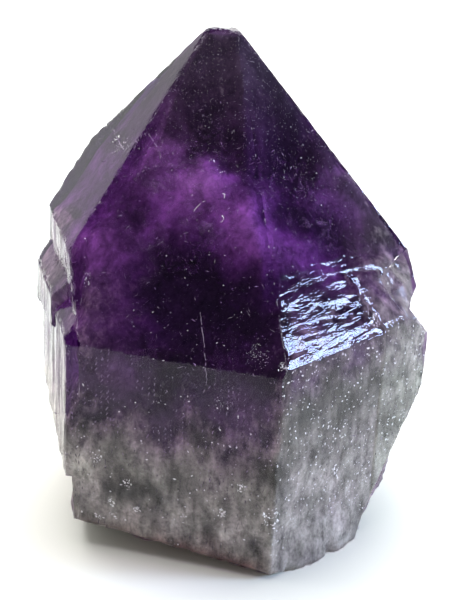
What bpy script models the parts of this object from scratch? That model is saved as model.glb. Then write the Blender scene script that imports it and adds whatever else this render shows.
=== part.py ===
"""A single amethyst crystal: a stout hexagonal prism with a rhombohedral tip, broken off at its root.

The crystal is one solid. Its faces are the flat faces of quartz, each given by the side it looks
to and its distance from the c axis, which is the Z axis. Smaller individuals grew against the main
one in the same orientation and are joined to it. The tip is blunt, the root is broken in slanting
and shell-shaped breaks, and the bottom is flat, so that the crystal stands on it.
Lengths are millimetres until they reach a mesh, which is in metres. The origin is where the c axis
meets the flat bottom.
"""

import math

import bmesh
import bpy
from mathutils import Matrix, Vector

MM = 0.001

# The habit of quartz: six prism faces, and six rhombohedral faces that lean in above them
SIDES = ("front", "right", "back_right", "back", "back_left", "left")
FACE_STEP = 60.0
FRONT_HEADING = -104.6
UPRIGHT = 90.0
RHOMB_SLOPE = 51.79
APEX_HEIGHT = 81.5
BLOCK_SIZE = 240.0

# The main individual: how far each prism face stands from the axis, and how far each rhombohedral
# face lies inside the apex. Every single plane below is a point on it, its heading and its lift
MAIN_PRISM = {
    "front": 36.9,
    "right": 36.0,
    "back_right": 25.9,
    "back": 26.0,
    "back_left": 17.0,
    "left": 28.1,
}
MAIN_RHOMB = {
    "front": 0.0,
    "right": 0.0,
    "back_right": 2.9,
    "back": 1.2,
    "back_left": 3.0,
    "left": 0.0,
}
BLUNT_TIP = ((0.0, 0.0, 75.4), 80.0, 12.0)

# Individuals grown beside the main one. A side that is not named has no face of its own, because
# the individual is buried there. The right one and the left one make the crystal's shoulders, the
# corner one fills the end of the right shoulder, the blade stands a little proud on the left, and
# the last two are low shoulders at the back
RIGHT_PRISM = {"front": 17.2, "right": 36.25, "back_right": 27.9, "back": 16.0}
RIGHT_RHOMB = {"right": -0.4, "back_right": 8.4}
RIGHT_TOP = ((25.0, -20.0, 44.0), 100.0, 14.0)
CORNER_PRISM = {"front": 15.0, "right": 35.9, "back_right": 27.0, "back": 10.0}
CORNER_RHOMB = {"right": 0.05, "back_right": 1.0}
CORNER_TOP = ((29.0, -12.0, 44.5), 60.0, 20.0)
LEFT_PRISM = {"front": 36.88, "right": 9.0, "left": 29.9, "back_left": 13.4}
LEFT_RHOMB = {"front": 0.1, "left": 5.1, "back_left": 9.0}
BLADE_PRISM = {"front": 27.5, "left": 30.4, "back_left": 16.1}
BLADE_RHOMB = {"left": 3.3, "back_left": 10.0}
BLADE_FOOT = ((-28.0, -9.0, 30.0), 205.0, 142.0)
REAR_PRISM = {"back": 28.3, "back_left": 13.0, "back_right": 12.0}
REAR_RHOMB = {"back": 9.0, "back_left": 14.0, "back_right": 16.0}
LOW_PRISM = {"back": 18.0, "back_left": 18.6, "left": 15.0}
LOW_RHOMB = {"back": 20.0, "back_left": 18.0, "left": 22.0}
BURIED_PRISM = 6.0
BURIED_DEPTH = 1.5

# Breaks that run right across: the lower right, the front rim, the lower back and the lower left
BREAKS = (
    ((23.6, -27.4, 0.0), 5.0, 115.3),
    ((10.0, -40.7, 1.2), -120.5, 160.0),
    ((-2.0, 24.0, 6.0), 82.0, 128.0),
    ((-22.0, 6.0, 6.0), 150.0, 118.0),
)

# A break on the lower left, under a ledge, a small tilted facet at the end of the right shoulder,
# under a ledge of its own, and a notch below that facet. Each has the plane of its wall first and
# then the plane that it stops at
LEFT_BREAK = (((-20.9, -32.7, 8.0), 182.0, 91.6), ((-24.5, -21.0, 15.5), -100.0, 18.0))
CORNER_FACET = (((25.9, -18.1, 42.0), -28.0, 48.4), ((25.9, -18.1, 42.4), 164.5, 41.9))
CORNER_NOTCH = (((30.5, -18.9, 37.3), -9.0, 103.0), ((-6.4, -1.8, 76.3), 195.4, 128.2))

# Shell-shaped scoops out of the root and the shoulders: the middle, the three radii and the turn
SCOOPS = (
    ((32.0, 6.0, 6.0), (13.0, 17.0, 15.0), 12.0),
    ((25.0, 27.0, 20.0), (11.0, 13.0, 14.0), 35.0),
    ((-31.0, -5.0, 3.0), (11.0, 15.0, 12.0), -8.0),
    ((-19.0, 22.0, 14.0), (14.0, 9.0, 13.0), 40.0),
    ((4.0, 35.0, 7.0), (17.0, 13.0, 13.0), 0.0),
    ((-24.0, 9.5, 36.0), (7.0, 5.5, 8.0), 45.0),
    ((12.0, 31.5, 33.0), (9.0, 6.0, 7.0), -15.0),
)
SCOOP_FINENESS = 4


def facing(heading, lift):
    """The unit normal that looks to a heading, with lift degrees between it and the c axis."""
    turn = math.radians(heading)
    lean = math.radians(lift)
    return Vector((math.sin(lean) * math.cos(turn), math.sin(lean) * math.sin(turn), math.cos(lean)))


def heading_of(side):
    """The compass heading, in degrees, of the faces on that side."""
    return FRONT_HEADING + FACE_STEP * SIDES.index(side)


def slice_off(mesh, point, outward):
    """Takes away what is beyond the plane through point, and closes the cut with a flat face."""
    parts = mesh.verts[:] + mesh.edges[:] + mesh.faces[:]
    made = bmesh.ops.bisect_plane(
        mesh, geom=parts, dist=1e-7, plane_co=point * MM, plane_no=outward, clear_outer=True
    )
    rim = [item for item in made["geom_cut"] if isinstance(item, bmesh.types.BMEdge)]
    if len(rim) > 2:
        bmesh.ops.contextual_create(mesh, geom=rim)


def new_block():
    """A block far larger than the crystal, to slice a convex shape from."""
    mesh = bmesh.new()
    bmesh.ops.create_cube(mesh, size=BLOCK_SIZE * MM)
    return mesh


def individual(prism, rhomb, *ends):
    """One quartz individual, sliced by its prism faces, its rhombohedral faces and other ends."""
    mesh = new_block()
    apex = Vector((0.0, 0.0, APEX_HEIGHT))
    for side in SIDES:
        outward = facing(heading_of(side), UPRIGHT)
        slice_off(mesh, outward * prism.get(side, BURIED_PRISM), outward)
        outward = facing(heading_of(side), RHOMB_SLOPE)
        drop = rhomb.get(side, MAIN_RHOMB[side] + BURIED_DEPTH)
        slice_off(mesh, apex - outward * drop, outward)
    slice_off(mesh, Vector((0.0, 0.0, 0.0)), Vector((0.0, 0.0, -1.0)))
    for point, heading, lift in ends:
        slice_off(mesh, Vector(point), facing(heading, lift))
    return mesh


def add_object(name, mesh):
    """Puts a mesh into the scene as an object with its faces pointing out."""
    data = bpy.data.meshes.new(name)
    bmesh.ops.recalc_face_normals(mesh, faces=mesh.faces[:])
    mesh.to_mesh(data)
    mesh.free()
    made = bpy.data.objects.new(name, data)
    bpy.context.scene.collection.objects.link(made)
    return made


def add_tool(crystal, name, mesh, operation):
    """Joins a hidden shape to the crystal, or cuts it away, with a Boolean modifier."""
    tool = add_object(name, mesh)
    tool.hide_render = True
    tool.display_type = "WIRE"
    step = crystal.modifiers.new(name, "BOOLEAN")
    step.operation = operation
    step.solver = "EXACT"
    step.object = tool


def beyond(point, heading, lift):
    """The half of the block that lies beyond a break, as a cutter."""
    mesh = new_block()
    slice_off(mesh, Vector(point), -facing(heading, lift))
    return mesh


def under_ledge(wall, ledge):
    """The cutter of a break that stops at a ledge: beyond its wall, and below the ledge."""
    mesh = beyond(*wall)
    point, heading, lift = ledge
    slice_off(mesh, Vector(point), facing(heading, lift))
    return mesh


def scoop(middle, radii, turn):
    """The egg-shaped cutter of a shell-shaped scoop."""
    mesh = bmesh.new()
    place = Matrix.Translation(Vector(middle) * MM) @ Matrix.Rotation(math.radians(turn), 4, "Z")
    size = Matrix.Diagonal((radii[0] * MM, radii[1] * MM, radii[2] * MM, 1.0))
    bmesh.ops.create_icosphere(mesh, subdivisions=SCOOP_FINENESS, radius=1.0, matrix=place @ size)
    return mesh


def amethyst_material():
    """Purple transparent quartz, glassy on its grown faces."""
    material = bpy.data.materials.new("amethyst")
    material.use_nodes = True
    shader = material.node_tree.nodes["Principled BSDF"]
    shader.inputs["Base Color"].default_value = (0.16, 0.07, 0.24, 1.0)
    shader.inputs["Roughness"].default_value = 0.12
    shader.inputs["Metallic"].default_value = 0.0
    shader.inputs["IOR"].default_value = 1.544
    shader.inputs["Transmission Weight"].default_value = 0.6
    return material


def build_crystal():
    """The whole crystal: the individuals joined, then the tip, the facet and the breaks cut."""
    crystal = add_object("amethyst_crystal", individual(MAIN_PRISM, MAIN_RHOMB, BLUNT_TIP))
    crystal.data.materials.append(amethyst_material())
    neighbours = {
        "right_individual": (RIGHT_PRISM, RIGHT_RHOMB, RIGHT_TOP),
        "corner_individual": (CORNER_PRISM, CORNER_RHOMB, CORNER_TOP),
        "left_individual": (LEFT_PRISM, LEFT_RHOMB),
        "left_blade": (BLADE_PRISM, BLADE_RHOMB, BLADE_FOOT),
        "rear_individual": (REAR_PRISM, REAR_RHOMB),
        "low_individual": (LOW_PRISM, LOW_RHOMB),
    }
    for name, faces in neighbours.items():
        add_tool(crystal, name, individual(*faces), "UNION")
    add_tool(crystal, "left_break", under_ledge(*LEFT_BREAK), "DIFFERENCE")
    add_tool(crystal, "corner_facet", under_ledge(*CORNER_FACET), "DIFFERENCE")
    add_tool(crystal, "corner_notch", under_ledge(*CORNER_NOTCH), "DIFFERENCE")
    for number, item in enumerate(BREAKS):
        add_tool(crystal, f"break_{number}", beyond(*item), "DIFFERENCE")
    for number, item in enumerate(SCOOPS):
        add_tool(crystal, f"scoop_{number}", scoop(*item), "DIFFERENCE")


def main():
    """Clears the scene and builds the crystal."""
    for old in list(bpy.data.objects):
        bpy.data.objects.remove(old)
    build_crystal()


main()
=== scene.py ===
"""The look of a single amethyst crystal: its glassy skin and what is sealed inside it."""

import math
import random

import bmesh
import bpy
import numpy as np
from bpy.props import FloatProperty, FloatVectorProperty, IntProperty, PointerProperty
from mathutils import Matrix, Vector, noise


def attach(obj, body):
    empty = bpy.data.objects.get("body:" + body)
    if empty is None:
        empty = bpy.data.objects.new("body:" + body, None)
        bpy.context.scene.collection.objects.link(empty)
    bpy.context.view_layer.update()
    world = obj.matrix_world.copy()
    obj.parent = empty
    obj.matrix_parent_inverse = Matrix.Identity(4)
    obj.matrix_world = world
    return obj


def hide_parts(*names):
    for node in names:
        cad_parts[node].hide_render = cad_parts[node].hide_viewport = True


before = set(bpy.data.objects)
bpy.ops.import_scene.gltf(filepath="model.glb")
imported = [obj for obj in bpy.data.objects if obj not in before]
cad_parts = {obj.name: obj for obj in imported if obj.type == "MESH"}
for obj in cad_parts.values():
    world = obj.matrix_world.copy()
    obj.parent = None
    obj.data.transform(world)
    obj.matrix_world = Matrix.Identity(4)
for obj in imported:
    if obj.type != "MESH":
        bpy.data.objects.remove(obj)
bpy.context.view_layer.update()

bl_info = {
    "name": "Amethyst crystal",
    "version": (1, 0, 0),
    "blender": (4, 5, 0),
    "location": "View3D > Sidebar > Amethyst",
    "description": "Builds a glassy amethyst point with a milky root, and its studio stage",
    "category": "Add Mesh",
}

NODE = "amethyst_crystal"
BODY = "root"
MM = 0.001

# The faces of quartz: six headings, each with an upright prism face and a leaning rhombohedral face
SIDES = ("front", "right", "back_right", "back", "back_left", "left")
FACE_STEP = 60.0
FRONT_HEADING = -104.6
RHOMB_SLOPE = 51.79
TIP_HEADING = 80.0
TIP_LIFT = 12.0
SAME_FACE = math.cos(math.radians(1.0))
SHARP = math.radians(8.0)
UP = Vector((0.0, 0.0, 1.0))

# How far the foot of the right prism face swells out, and how deep the chips along the rim of the foot
# are, in metres
FOOT_BULGE = 0.0013
FOOT_CHIPS = 0.0009

# The right prism face lies this far from the c axis, in millimetres, and all its parts that lie within
# the two limits of it are made flush. The upright front edge is worn round below this height, in metres
RIGHT_PRISM = 36.0
FLUSH_BETWEEN = (-0.15, 0.3)
WORN_BELOW = 0.022

# How much deeper the nicks are in the edges on the left, low on the upright front edge, and elsewhere
NICKED_LEFT = 1.6
NICKED_FRONT = 1.5
NICKED_ELSEWHERE = 0.7

# The share of the streaks that the prism faces have above the root, the heights in millimetres between
# which the streaks grow to the full, and the lumps of the root and of the blunt tip, in millimetres
HEAD_STREAKS = 0.25
STREAK_FADE = (26.0, 8.0)
ROOT_LUMPS = 0.12
TIP_LUMPS = 0.16

# How frosted the tip and the root are, and the heights in millimetres between which the root's frost
# grows. The small facets above this height and right of this place keep only a share of it
TIP_FROST = 0.3
ROOT_FROST = 0.45
FROST_FADE = (24.0, 6.0)
GLOSSY_ABOVE = (40.0, 15.0)
GLOSSY_SHARE = 0.3

# A step line runs down the right rhombohedral face. Beyond this distance along the level way across
# the face tilts back a little, fully below the lower height and not at all above the upper one, all
# in millimetres
STEP_WAY = Vector((0.702, 0.712, 0.0))
STEP_PLACE = -0.4
STEP_FADE = (62.0, 45.0)
STEP_TILT = 0.044

# The terraces on it run down by the dip for each millimetre to the right, lie that spacing apart along
# the face, waver by so much and climb over that share of the spacing. They fade between two heights at
# the top and two at the foot, and between two places on the right, all in millimetres. The stretch is
# how much longer the way along the face is than its rise
TERRACE_DIP = 0.03
TERRACE_SPACING = 1.8
TERRACE_WAVER = 1.3
TERRACE_CLIMB = 0.65
TERRACE_TOP = (49.0, 43.5)
TERRACE_FOOT = (27.0, 39.0)
TERRACE_RIGHT = (27.0, 20.0)
SLOPE_STRETCH = 1.27

# Healed cracks inside the head: the middle, half the width, and the heading and lift they look to. Each
# fades between these shares of its half width and is drawn in so many cells
VEIL_CELLS = 24
VEIL_FADE = (1.0, 0.3)
VEILS = (
    ((-4.0, -16.5, 57.0), 9.0, (-104.0, 60.0)),
    ((-9.0, -15.0, 58.0), 8.0, (-120.0, 40.0)),
    ((-5.0, -22.0, 49.0), 10.0, (-100.0, 65.0)),
    ((0.5, -20.5, 52.0), 8.0, (-90.0, 45.0)),
    ((-13.0, -22.0, 46.0), 8.0, (-125.0, 60.0)),
    ((-0.5, -9.0, 66.0), 7.0, (-100.0, 50.0)),
    ((-1.0, -6.0, 70.0), 5.0, (-80.0, 60.0)),
    ((9.0, -16.0, 55.0), 8.0, (-50.0, 50.0)),
    ((13.0, -20.0, 48.0), 8.0, (-60.0, 65.0)),
    ((16.0, -14.0, 50.0), 8.0, (-30.0, 45.0)),
    ((-12.0, -31.0, 34.0), 8.0, (-110.0, 80.0)),
    ((1.0, -34.5, 31.0), 9.0, (-100.0, 85.0)),
    ((16.0, -31.0, 31.0), 9.0, (-45.0, 85.0)),
    ((-19.0, -13.0, 48.0), 8.0, (-160.0, 55.0)),
    ((-14.0, -6.0, 58.0), 8.0, (-165.0, 50.0)),
)

# Fine cracks that show as dim lines, and scratches and fibres that show as bright ones: the points,
# in millimetres, and half the width
DIM_LINES = (
    (((-2.2, -32.4, 41.0), (-1.7, -34.2, 39.0), (-1.3, -35.7, 37.2), (-0.9, -37.9, 35.0)), 0.05),
    (((-0.9, -37.9, 35.0), (-0.6, -38.0, 31.8)), 0.05),
    (((-18.0, -2.3, 58.7), (-16.7, -7.4, 58.5), (-15.4, -12.1, 58.6)), 0.07),
    (((-15.4, -12.1, 58.6), (-13.4, -12.6, 60.4), (-11.9, -12.7, 62.1), (-10.0, -14.8, 60.1)), 0.05),
    (((-9.3, -16.6, 58.6), (-10.0, -14.8, 60.1)), 0.05),
)
BRIGHT_LINES = (
    (((21.5, -21.1, 43.2), (21.7, -22.4, 41.9), (23.5, -22.8, 39.9)), 0.03),
    (((23.5, -22.8, 39.9), (23.5, -24.6, 38.3), (24.9, -25.7, 36.1)), 0.06),
    (((-2.4, -21.3, 54.5), (-3.3, -21.6, 53.9), (-4.2, -22.3, 52.7)), 0.04),
    (((0.2, -21.0, 55.7), (0.7, -21.2, 55.6), (0.5, -21.6, 55.2)), 0.06),
    (((0.3, -23.3, 53.0), (0.6, -23.6, 52.6), (0.2, -23.9, 52.1)), 0.07),
    (((19.9, -31.2, 15.6), (19.5, -31.5, 14.6), (20.4, -30.7, 12.9)), 0.16),
)

# Clusters of bright chips: the middle, the reach, how many there are and how large
CHIP_CLUSTERS = (
    ((-1.6, -17.4, 59.6), 0.5, 5, 0.2),
    ((-0.4, -18.8, 58.2), 1.2, 10, 0.1),
    ((6.7, -38.0, 36.8), 2.2, 110, 0.06),
    ((2.0, -38.6, 29.2), 1.4, 40, 0.07),
    ((24.6, -24.4, 37.4), 1.3, 60, 0.16),
    ((22.3, -23.5, 40.4), 1.6, 30, 0.1),
    ((-16.9, -33.7, 16.0), 0.8, 20, 0.2),
    ((-14.9, -34.3, 8.7), 0.9, 22, 0.24),
    ((-10.8, -35.3, 8.2), 0.7, 16, 0.22),
    ((-16.9, -33.7, 5.5), 0.7, 16, 0.18),
    ((2.4, -38.8, 10.5), 0.8, 18, 0.26),
    ((5.2, -39.5, 15.3), 0.9, 18, 0.18),
    ((-12.5, -34.9, 12.4), 1.0, 20, 0.2),
    ((10.1, -40.8, 11.3), 1.8, 40, 0.18),
    ((-17.0, -6.8, 58.8), 1.3, 22, 0.16),
    ((-14.6, -12.2, 59.3), 1.6, 30, 0.09),
    ((19.9, -31.1, 14.6), 0.7, 8, 0.2),
    ((-16.0, -9.5, 58.4), 2.0, 40, 0.12),
    ((-17.5, -33.6, 15.6), 0.7, 12, 0.16),
    ((-14.5, -34.3, 6.4), 1.1, 16, 0.18),
    ((-3.4, -37.2, 8.7), 0.6, 9, 0.17),
    ((10.4, -39.7, 36.2), 0.8, 30, 0.14),
    ((-19.6, -27.0, 43.0), 1.2, 24, 0.11),
)

# How far ribbons and chips lie under the skin and how long a ribbon's pieces are, in millimetres, and
# the share of the pieces that is there
UNDER_SKIN = 0.16
RIBBON_PIECE = 0.35
RIBBON_WHOLE = 0.8

# How many painted glints each face has as white flakes, the height range they lie in and their largest size,
# in millimetres
PAINTED_GLINTS = (
    ("prism_right", 900, 4.0, 36.0, 0.16),
    ("prism_front", 170, 3.0, 30.0, 0.15),
    ("rhomb_front", 90, 30.0, 75.0, 0.09),
    ("rhomb_front", 340, 34.0, 60.0, 0.034),
    ("rhomb_front", 1100, 56.0, 76.0, 0.038),
    ("rhomb_right", 800, 54.0, 76.0, 0.038),
    ("rhomb_right", 110, 33.0, 75.0, 0.09),
    ("tip", 70, 60.0, 80.0, 0.16),
    ("break", 160, 3.4, 60.0, 0.17),
)

# How often each pair of faces shows pale wear along its edge, which is cut into pieces of the length
# given last, in millimetres. The ridge between the two leaning faces in front has more low down: partly
# wear, and partly a painted highlight where the ridge mirrors the window
RIDGE = frozenset(("rhomb_front", "rhomb_right"))
EDGE_WEAR = {
    RIDGE: 0.3,
    frozenset(("rhomb_front", "rhomb_left")): 0.35,
    frozenset(("rhomb_front", "prism_front")): 0.15,
    frozenset(("rhomb_right", "prism_right")): 0.4,
    frozenset(("prism_front", "prism_right")): 0.25,
}
OTHER_WEAR = 0.25
RIDGE_WEAR_AND_HIGHLIGHT = 0.4
WEAR_PIECE = 0.5

# How many scratches the leaning faces have, half their width in millimetres, and how many streaks the
# left prism face has
SCRATCHES = 110
SCRATCH_WIDTH = 0.014
BLADE_STREAKS = 260

# Fine specks lie above this height in millimetres, and are this many times as long as they are wide
SPECKS_ABOVE = 14.0
SPECK_LENGTHS = (1.0, 1.4, 2.5, 6.0)

# The cells that specks, chips and pits are drawn from, in millimetres
CELL_SIZE = 0.9

# Dark upright pits in the prism faces: the face, how many and the height range in millimetres
DARK_PITS = (
    ("prism_right", 420, 5.0, 35.0),
    ("prism_front", 1000, 4.0, 33.0),
)

# The line along the c axis that everything sealed inside is drawn in towards, in millimetres. Above
# the bend the way in slants down, square to the leaning faces
CORE_LINE = (2.0, -7.0)
CORE_FROM = 12.0
CORE_BEND = 20.0
CORE_SLOWER = 0.42

# The core lies no deeper than this share of the way in, and is shallower between these two heights in
# the tip. Its creases are smoothed in so many rounds. Its points hold these values
DEEPEST = 0.62
TIP_FADE = (60.0, 73.0)
CREASE_ROUNDS = 14
CORE_LAYERS = ("milk", "pale", "tone", "stain")

# The height of the milk's upper edge on the front, how much higher it is on the right side, the places
# between which that changes, and how far above and below it the milk fades, all in millimetres
MILK_EDGE = 19.0
MILK_HIGHER = 13.0
RIGHT_SIDE = (9.0, 12.0)
MILK_FADE = (13.0, 8.0)

# Windows of clear quartz, where the core lies deeper and shows its painted darkness, and glowing clouds
# below the faces. Each zone here and below is given by its middle on the face, its reach in millimetres
# and its strength
CLEAR_ZONES = (
    ((-6.0, -30.0, 42.5), 12.5, 1.0),
    ((-13.0, -29.5, 41.0), 7.0, 0.6),
    ((4.5, -34.0, 40.0), 10.5, 1.0),
    ((-1.0, -37.5, 33.0), 7.0, 0.6),
    ((9.4, -12.7, 61.7), 7.5, 1.0),
    ((6.7, -8.8, 67.6), 7.0, 0.8),
    ((12.0, -8.3, 63.0), 6.0, 0.8),
    ((11.5, -19.5, 53.8), 5.0, 0.7),
    ((19.0, -18.0, 49.5), 5.5, 0.5),
    ((-15.3, -19.2, 53.0), 4.5, 0.6),
    ((2.4, -15.1, 64.5), 4.5, 0.6),
    ((-2.0, -7.1, 72.2), 8.0, 0.7),
    ((-8.5, -35.9, 30.8), 5.0, 0.8),
    ((-0.6, -38.0, 32.3), 5.0, 0.7),
)
GLOW_ZONES = (
    ((-3.6, -18.5, 58.0), 6.0, 1.0),
    ((-10.5, -18.4, 55.8), 6.0, 0.4),
    ((-6.0, -22.2, 52.3), 6.5, 0.55),
    ((0.8, -23.3, 53.1), 6.5, 0.75),
    ((5.0, -27.0, 49.5), 6.0, 0.6),
    ((12.5, -23.8, 50.4), 6.0, 0.35),
    ((19.2, -10.4, 54.8), 5.5, 0.4),
    ((17.0, -21.1, 47.3), 5.0, 0.15),
    ((-11.3, -13.7, 61.0), 5.0, 0.45),
    ((-19.0, -23.5, 47.0), 5.0, 0.25),
    ((-15.7, -34.1, 30.0), 6.5, 0.5),
    ((-12.3, -34.9, 24.5), 5.0, 0.5),
    ((1.5, -38.6, 27.8), 4.0, 0.6),
    ((6.8, -39.9, 27.2), 5.5, 0.55),
)

# Places on the root where the milk is darker, and the least tone that it keeps
DULL_ZONES = (
    ((10.1, -40.8, 18.6), 3.2, 0.4),
    ((-2.2, -37.6, 20.5), 6.0, 0.22),
    ((-5.0, -36.5, 15.0), 6.0, 0.15),
)
DARKEST = 0.2

# Places along the right edge of the head where the clouds lie close to the surface
EDGE_ZONES = (
    ((8.0, -3.0, 70.0), 6.0, 1.0),
    ((13.0, -4.0, 65.0), 6.0, 1.0),
    ((17.0, -5.5, 59.5), 6.5, 1.0),
    ((22.0, -7.0, 54.0), 6.5, 1.0),
    ((26.5, -8.5, 48.5), 6.5, 1.0),
)

# Places in the head where the quartz is hazy close to the surface
HAZE_ZONES = (
    ((29.0, -16.0, 41.0), 8.0, 0.6),
    ((31.0, -12.0, 39.0), 7.0, 0.65),
    ((31.0, -18.0, 33.0), 7.0, 0.8),
    ((33.0, -12.0, 30.0), 8.0, 0.8),
    ((-28.0, -12.0, 40.0), 10.0, 0.55),
    ((-21.0, -30.0, 38.0), 8.0, 0.3),
)

# What light does in quartz, and the heights in millimetres of the growth texture and the fine terraces
QUARTZ_IOR = 1.544
GRAIN_HEIGHT = 0.08
FINE_TERRACES = 0.05

# What is added to the milk's patterns, whose middle is above 0, so that they also darken
MOTTLE_MIDDLE = -2.6

# The stage: the floor's radius in metres, the middle that the lamps shine at in millimetres, and the
# window's heading and lift in degrees
FLOOR_RADIUS = 4.0
LIT_MIDDLE = (2.0, -10.0, 35.0)
WINDOW_WAY = (-0.9, 21.5)

# The camera, fitted to the edges in the photograph: degrees, millimetres of lens and of place
CAMERA_TILT = 24.414
CAMERA_ROLL = -2.848
CAMERA_LENS = 99.26
CAMERA_PLACE = (2.61, -254.54, 144.09)


def linear(hex_colour):
    """An sRGB hex colour such as 8a7fa0 as linear red, green and blue, with an alpha of 1."""
    parts = [int(hex_colour[i : i + 2], 16) / 255 for i in (0, 2, 4)]
    parts = [p / 12.92 if p <= 0.04045 else ((p + 0.055) / 1.055) ** 2.4 for p in parts]
    return (*parts, 1.0)


def colour(title, hex_colour, about):
    """A colour property."""
    return FloatVectorProperty(
        name=title,
        description=about,
        default=linear(hex_colour),
        size=4,
        min=0.0,
        max=1.0,
        subtype="COLOR",
    )


def length(title, millimetres, about):
    """A length property, given in millimetres and kept in metres."""
    return FloatProperty(
        name=title, description=about, default=millimetres * MM, min=0.0, subtype="DISTANCE", unit="LENGTH"
    )


def share(title, value, about):
    """A property from 0 to 1."""
    return FloatProperty(name=title, description=about, default=value, min=0.0, max=1.0, subtype="FACTOR")


def amount(title, value, about, unit="NONE"):
    """A property of 0 or more."""
    return FloatProperty(name=title, description=about, default=value, min=0.0, unit=unit)


def whole_number(title, value, about):
    """A whole number of 0 or more."""
    return IntProperty(name=title, description=about, default=value, min=0)


class SkinSettings(bpy.types.PropertyGroup):
    """Sizes and finish of the crystal's own surface."""

    spacing: length("Mesh spacing", 0.55, "How far apart the points of the surface lie")
    break_depth: length("Break depth", 1.1, "How deep the hackles on the broken surfaces are")
    growth_height: length("Growth height", 0.035, "How high the growth hills on the faces stand")
    terrace_height: length("Terrace height", 0.1, "How high the growth terraces on the right face stand")
    streak_height: length("Streak height", 0.07, "How high the upright streaks on the prism faces stand")
    blade_height: length("Blade height", 0.22, "How high the upright ribs of the left face stand")
    nick_depth: length("Nick depth", 0.22, "How deep the nicks in the edges are")
    gloss: share("Face roughness", 0.03, "Roughness of the grown faces")
    frost: share("Break roughness", 0.36, "Roughness of the broken surfaces")
    let_through: colour("Light let through", "c437d8", "The colour that the quartz lets through")
    density: amount("Colour density", 200.0, "How fast the quartz takes up light")


class InsideSettings(bpy.types.PropertyGroup):
    """What is sealed in the quartz."""

    spacing: length("Cloud spacing", 0.9, "How far apart the points of the clouds lie")
    root_depth: length("Root depth", 0.34, "How deep the milky root lies under the surface")
    cloud_depth: length("Cloud depth", 4.6, "How deep the clouds lie under the faces")
    window_depth: length("Clear depth", 2.6, "How much deeper one sees where the quartz is clear")
    milk: colour("Milky root", "918f87", "The colour of the milky quartz at the root")
    cloud: colour("Clouds", "dcbce4", "The colour of the clouds")
    # The clear depths are painted darkness: the core takes this dark colour where the quartz is clear, for
    # the little light that comes back from deep inside
    dark: colour("Clear depths", "2b2530", "The colour deep inside, where the quartz is clear")
    stain: colour("Stain", "66453f", "The rusty stain on the broken rim")
    speck: colour("Specks", "a498ac", "The colour of the specks and veils")
    pit: colour("Dark pits", "4a4250", "The colour of the dark pits")
    # Also the colour of the painted glints, white flakes that stand in for sparkles of light
    chip_and_glint: colour("Sparks", "ffffff", "The colour of the bright chips and sparkles")
    veil_cover: share("Veil cover", 0.5, "How much the densest wisps hide")
    specks: whole_number("Specks", 26000, "How many fine specks there are")
    dashes: whole_number("Dashes", 2600, "How many dashes the front face has")
    veils: whole_number("Veil specks", 30000, "How many specks make up the veils")


class StageSettings(bpy.types.PropertyGroup):
    """The floor, the lights and the camera."""

    floor: colour("Floor", "eeefe6", "The colour of the floor")
    window: amount("Window light", 8.0, "Power of the window", "POWER")
    overhead: amount("Overhead light", 24.0, "Power of the softbox", "POWER")
    horizon: amount("Horizon", 1.3, "Brightness of the pale walls")
    ceiling: amount("Back ceiling", 1.5, "Brightness of the ceiling at the back")


def facing(heading, lift):
    """The unit normal that looks to a heading, with lift degrees between it and the c axis."""
    turn = math.radians(heading)
    lean = math.radians(lift)
    return Vector((math.sin(lean) * math.cos(turn), math.sin(lean) * math.sin(turn), math.cos(lean)))


def grown_faces():
    """The outward normals of the grown faces, by name."""
    normals = {"tip": facing(TIP_HEADING, TIP_LIFT)}
    for number, side in enumerate(SIDES):
        heading = FRONT_HEADING + FACE_STEP * number
        normals["prism_" + side] = facing(heading, 90.0)
        normals["rhomb_" + side] = facing(heading, RHOMB_SLOPE)
    return normals


GROWN = grown_faces()


def rise(low, high, value):
    """0 at low, 1 at high, and a smooth rise between them. Low may be above high."""
    t = min(1.0, max(0.0, (value - low) / (high - low)))
    return t * t * (3.0 - 2.0 * t)


def rough(p, size, octaves=3, seed=0.0):
    """Layered noise of about -1 to 1 at a point, with its coarsest grain of that size."""
    return noise.fractal(p / size + Vector((seed, -seed, 2.0 * seed)), 1.0, 2.0, octaves)


def stretched(p, across, along, seed=0.0):
    """Noise of about -1 to 1 drawn out along the c axis."""
    spot = Vector((p.x / across + seed, p.y / across - seed, p.z / along))
    return noise.fractal(spot, 1.0, 2.0, 3)


def add_node(tree, kind, output, values):
    """Adds a shader node with its properties and sockets, and returns the named output.

    A value that is another node's output is linked, and any other value is set.
    """
    node = tree.nodes.new("ShaderNode" + kind)
    for name, value in values.items():
        if isinstance(value, bpy.types.NodeSocket):
            tree.links.new(value, node.inputs[name])
        elif isinstance(name, str) and hasattr(node, name):
            setattr(node, name, value)
        else:
            node.inputs[name].default_value = value
    return node.outputs[output] if output is not None else None


def new_material(name):
    """An empty node material, its tree and the place on the object."""
    material = bpy.data.materials.new(name)
    material.use_nodes = True
    material.node_tree.nodes.clear()
    return material, material.node_tree, add_node(material.node_tree, "TexCoord", "Object", {})


def mesh_data(name, mesh):
    """The finished mesh as data of that name."""
    data = bpy.data.meshes.new(name)
    mesh.to_mesh(data)
    mesh.free()
    return data


def add_piece(name, mesh, material):
    """Puts a mesh into the scene as a piece that rides on the crystal's body."""
    data = mesh_data(name, mesh)
    data.materials.append(material)
    piece = bpy.data.objects.new(name, data)
    bpy.context.scene.collection.objects.link(piece)
    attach(piece, BODY)
    return piece


def plain_faces():
    """The CAD crystal's mesh with its triangles joined back into flat faces."""
    mesh = bmesh.new()
    mesh.from_mesh(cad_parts[NODE].data)
    bmesh.ops.remove_doubles(mesh, verts=mesh.verts[:], dist=1e-6)
    flat = math.radians(0.3)
    bmesh.ops.dissolve_limit(mesh, angle_limit=flat, verts=mesh.verts[:], edges=mesh.edges[:])
    return mesh


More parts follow.
